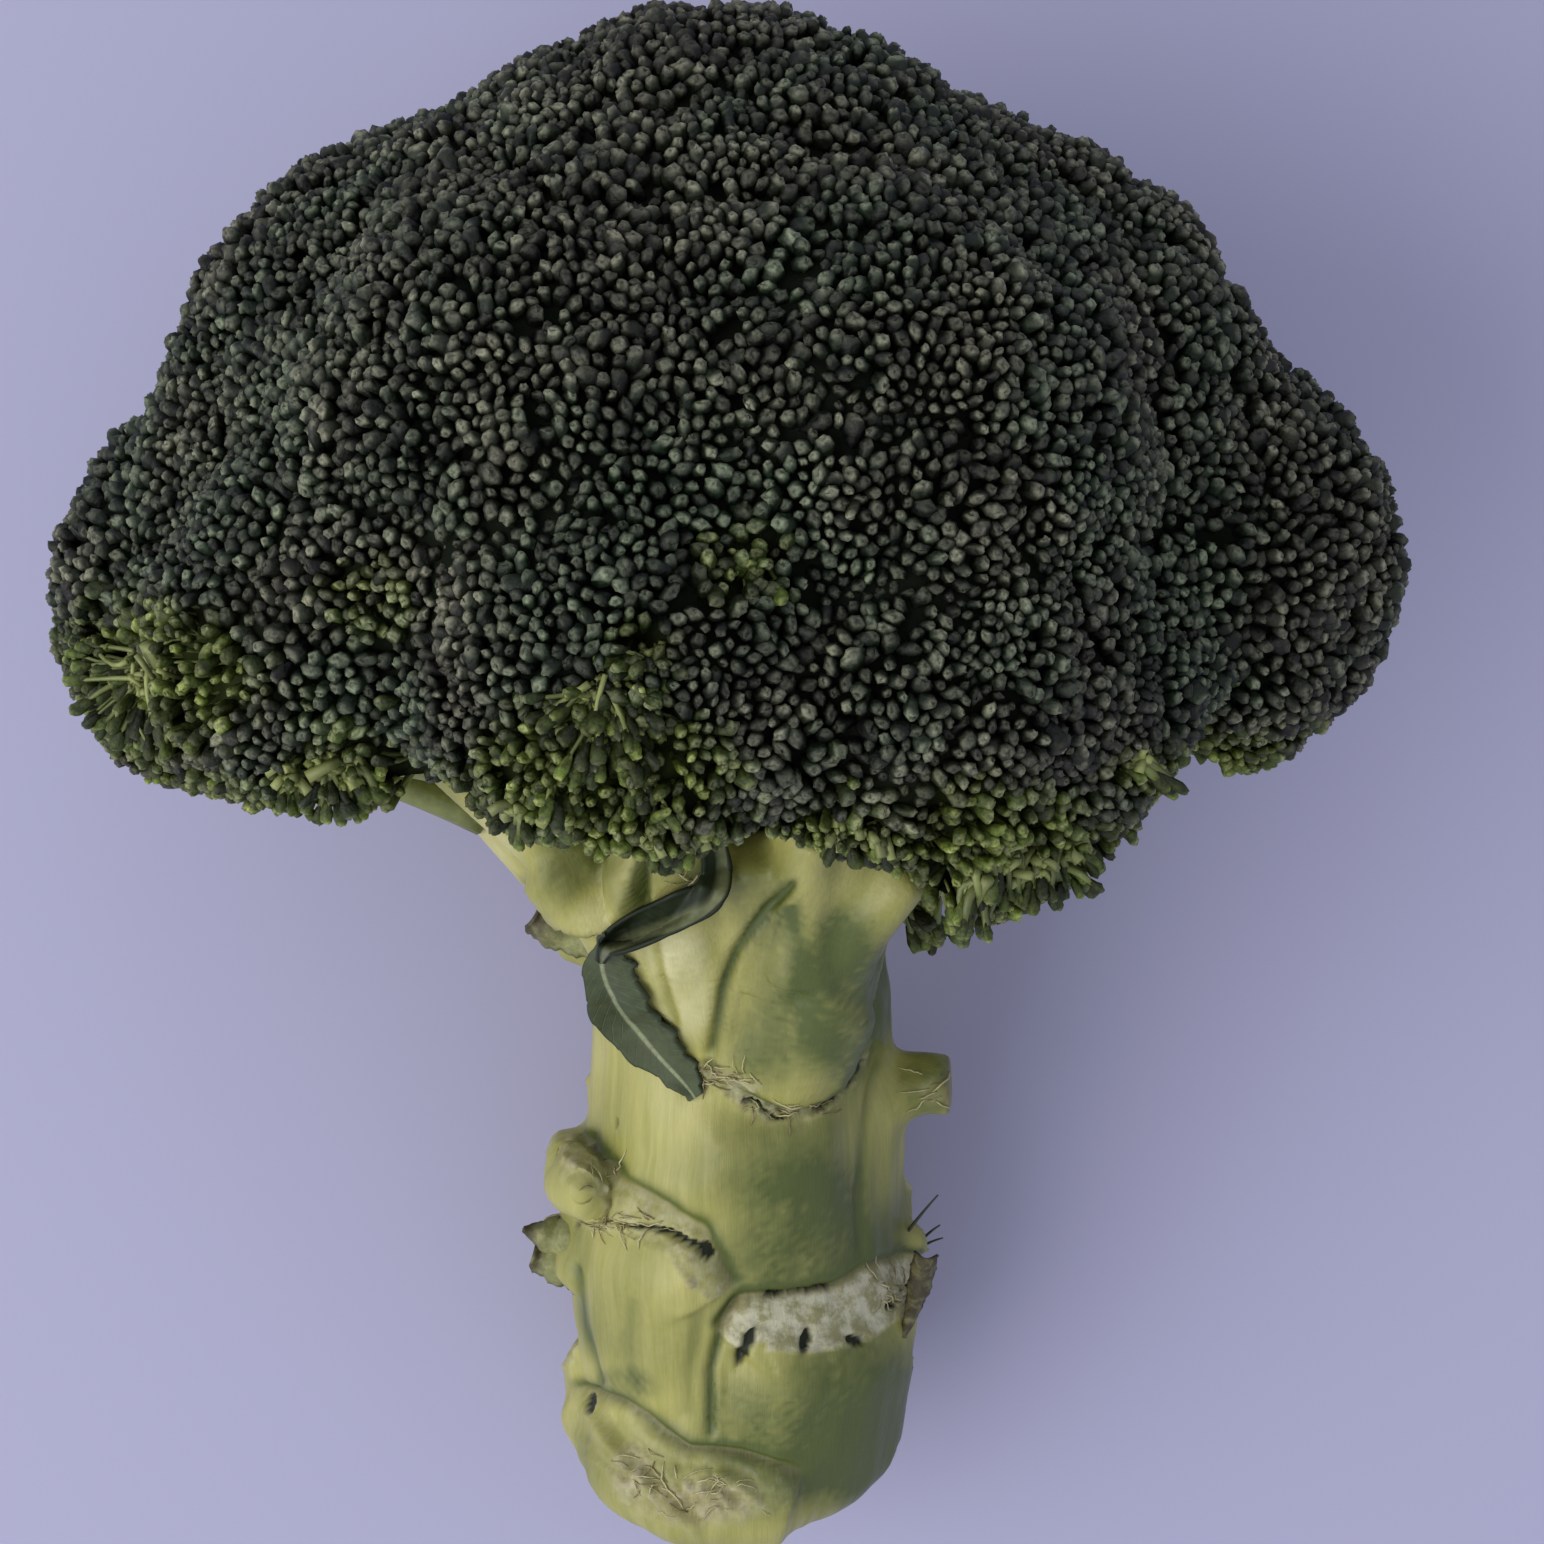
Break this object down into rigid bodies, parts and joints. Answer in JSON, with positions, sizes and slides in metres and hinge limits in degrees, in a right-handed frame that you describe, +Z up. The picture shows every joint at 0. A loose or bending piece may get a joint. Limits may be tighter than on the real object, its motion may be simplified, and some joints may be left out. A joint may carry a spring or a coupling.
{
  "type": "broccoli head",
  "caption": "Whole fresh broccoli head lying on its side: a domed, bud-covered crown on a thick branching stalk with leaf scars and one small leaf.",
  "frame": {"origin": "on the surface that the head lies on, below the middle of its box", "axes": "+Z up from the surface, +Y along the head towards the crown's top, +X to the right of a viewer looking down with the crown at the top"},
  "size_m": [0.1512, 0.1748, 0.1147],
  "materials": {
    "buds": "matt dark grey-green flower buds, packed close",
    "stalk_skin": "smooth, slightly waxy pale green skin",
    "leaf_skin": "waxy grey-green leaf with a pale midrib"
  },
  "bodies": {
    "root": {"crown": "buds", "stalk": "stalk_skin", "leaf": "leaf_skin"}
  },
  "joints": []
}
